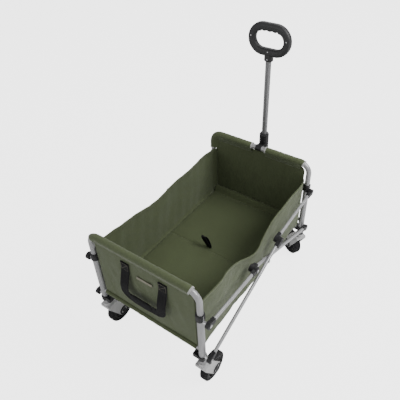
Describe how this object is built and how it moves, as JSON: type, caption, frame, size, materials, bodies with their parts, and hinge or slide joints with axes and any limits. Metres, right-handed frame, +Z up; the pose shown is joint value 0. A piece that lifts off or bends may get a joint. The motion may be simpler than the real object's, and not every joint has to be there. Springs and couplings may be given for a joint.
{
  "type": "folding wagon with pull handle",
  "caption": "Folding utility wagon: tube end frames joined by scissor side bars, a fabric tub, a two-part floor, wheels with swivelling front casters and a telescoping pull handle.",
  "frame": {"origin": "centre of the footprint's bounding box, on the ground", "axes": "+Z up, +Y along the wagon towards the pull handle, +X to the right seen from behind the wagon"},
  "size_m": [0.5694, 0.8868, 1.084],
  "materials": {
    "frame_tube": "satin silver-grey powder coat",
    "steel": "zinc-plated steel",
    "handle_tube": "satin anodised",
    "black_plastic": "fine-textured moulding",
    "grip_plastic": "fine-textured moulding",
    "grey_plastic": "light grey moulding",
    "fabric": "olive woven polyester",
    "board": "fabric-covered stiffener",
    "webbing": "black webbing",
    "tyre": "ribbed soft tread"
  },
  "bodies": {
    "rear_frame": {"rear_u_tube": "frame_tube", "rear_legs": "frame_tube", "rear_leg_collars": "black_plastic", "rear_cross_tube": "frame_tube", "rear_end_panel": "fabric", "rear_floor_brackets": "black_plastic", "rear_pivot_pins": "steel", "rear_forks": "grey_plastic", "rear_axles": "steel", "carry_strap": "webbing", "left_side_panel": "fabric", "right_side_panel": "fabric"},
    "outer_bars": {"right_outer_bar": "frame_tube", "left_outer_bar": "frame_tube", "outer_bar_caps": "black_plastic", "centre_pins": "steel"},
    "inner_bars": {"right_inner_bar": "frame_tube", "left_inner_bar": "frame_tube", "inner_bar_caps": "black_plastic"},
    "front_frame": {"front_u_tube": "frame_tube", "front_legs": "frame_tube", "front_leg_collars": "black_plastic", "front_cross_tube": "frame_tube", "front_end_panel": "fabric", "front_floor_brackets": "black_plastic", "front_pivot_pins": "steel", "caster_bushes": "black_plastic", "handle_bracket": "black_plastic", "handle_rest_clip": "black_plastic", "handle_pin": "steel"},
    "rear_rails": {"rear_rails": "frame_tube", "rear_rail_caps": "black_plastic", "rear_rail_rivets": "steel"},
    "front_rails": {"front_rails": "frame_tube", "front_rail_caps": "black_plastic", "front_rail_rivets": "steel"},
    "rear_floor": {"rear_floor_frame": "frame_tube", "rear_floor_board": "board"},
    "front_floor": {"front_floor_frame": "frame_tube", "front_floor_board": "board", "pull_strap": "webbing"},
    "rear_right_wheel": {"rear_right_tyre": "tyre", "rear_right_hub": "black_plastic"},
    "rear_left_wheel": {"rear_left_tyre": "tyre", "rear_left_hub": "black_plastic"},
    "right_caster": {"right_caster_fork": "grey_plastic", "right_caster_stem": "steel"},
    "left_caster": {"left_caster_fork": "grey_plastic", "left_caster_stem": "steel"},
    "front_right_wheel": {"front_right_tyre": "tyre", "front_right_hub": "black_plastic"},
    "front_left_wheel": {"front_left_tyre": "tyre", "front_left_hub": "black_plastic"},
    "handle_post": {"handle_outer_tube": "handle_tube", "handle_lock_collar": "black_plastic"},
    "handle_slider": {"handle_inner_tube": "handle_tube", "grip_front_half": "grip_plastic", "grip_rear_half": "grip_plastic", "grip_screws": "steel"},
    "lock_button": {"handle_lock_button": "grey_plastic"}
  },
  "joints": [
    {"name": "fold", "type": "hinge", "parent": "rear_frame", "child": "outer_bars", "pos_m": [0, -0.41586, 0.211], "axis": [1, 0, 0], "range_deg": [0, 52.88], "deforming": ["left_side_panel", "right_side_panel"]},
    {"name": "scissor", "type": "hinge", "parent": "outer_bars", "child": "inner_bars", "pos_m": [0, -0.02086, 0.35947], "axis": [1, 0, 0], "range_deg": [-105.76, 0]},
    {"name": "front_frame_joint", "type": "hinge", "parent": "inner_bars", "child": "front_frame", "pos_m": [0, 0.37414, 0.211], "axis": [1, 0, 0], "range_deg": [0, 52.88]},
    {"name": "rear_rail_fold", "type": "hinge", "parent": "rear_frame", "child": "rear_rails", "pos_m": [0, -0.41586, 0.42], "axis": [1, 0, 0], "range_deg": [0, 77.28]},
    {"name": "front_rail_fold", "type": "hinge", "parent": "front_frame", "child": "front_rails", "pos_m": [0, 0.37414, 0.42], "axis": [-1, 0, 0], "range_deg": [0, 77.28]},
    {"name": "rear_floor_fold", "type": "hinge", "parent": "rear_frame", "child": "rear_floor", "pos_m": [0, -0.39686, 0.23], "axis": [1, 0, 0], "range_deg": [0, 87.26]},
    {"name": "front_floor_fold", "type": "hinge", "parent": "front_frame", "child": "front_floor", "pos_m": [0, 0.35514, 0.23], "axis": [-1, 0, 0], "range_deg": [0, 87.26], "deforming": ["pull_strap"]},
    {"name": "rear_right_spin", "type": "hinge", "parent": "rear_frame", "child": "rear_right_wheel", "pos_m": [0.24, -0.36086, 0.062], "axis": [1, 0, 0], "continuous": true},
    {"name": "rear_left_spin", "type": "hinge", "parent": "rear_frame", "child": "rear_left_wheel", "pos_m": [-0.24, -0.36086, 0.062], "axis": [1, 0, 0], "continuous": true},
    {"name": "right_swivel", "type": "hinge", "parent": "front_frame", "child": "right_caster", "pos_m": [0.24, 0.37414, 0.18], "axis": [0, 0, 1], "continuous": true},
    {"name": "left_swivel", "type": "hinge", "parent": "front_frame", "child": "left_caster", "pos_m": [-0.24, 0.37414, 0.18], "axis": [0, 0, 1], "continuous": true},
    {"name": "front_right_spin", "type": "hinge", "parent": "right_caster", "child": "front_right_wheel", "pos_m": [0.19237, 0.40164, 0.062], "axis": [0.5, 0.866, 0], "continuous": true},
    {"name": "front_left_spin", "type": "hinge", "parent": "left_caster", "child": "front_left_wheel", "pos_m": [-0.19237, 0.40164, 0.062], "axis": [0.5, -0.866, 0], "continuous": true},
    {"name": "handle_swing", "type": "hinge", "parent": "front_frame", "child": "handle_post", "pos_m": [0, 0.42114, 0.236], "axis": [-1, 0, 0], "range_deg": [0, 100]},
    {"name": "handle_slide", "type": "slide", "parent": "handle_post", "child": "handle_slider", "axis": [0, -0.0175, 0.9998], "range_m": [-0.255, 0]},
    {"name": "lock_press", "type": "slide", "parent": "handle_post", "child": "lock_button", "axis": [0, -0.9998, -0.0175], "range_m": [0, 0.002], "stiffness_N_per_m": 400, "springref_m": -0.002}
  ],
  "couplings": [
    {"joint": "scissor", "follows": "fold", "ratio": -2},
    {"joint": "front_frame_joint", "follows": "fold", "ratio": 1},
    {"joint": "rear_rail_fold", "follows": "fold", "ratio": 1.4613},
    {"joint": "front_rail_fold", "follows": "fold", "ratio": 1.4613},
    {"joint": "rear_floor_fold", "follows": "fold", "ratio": 1.65},
    {"joint": "front_floor_fold", "follows": "fold", "ratio": 1.65}
  ]
}
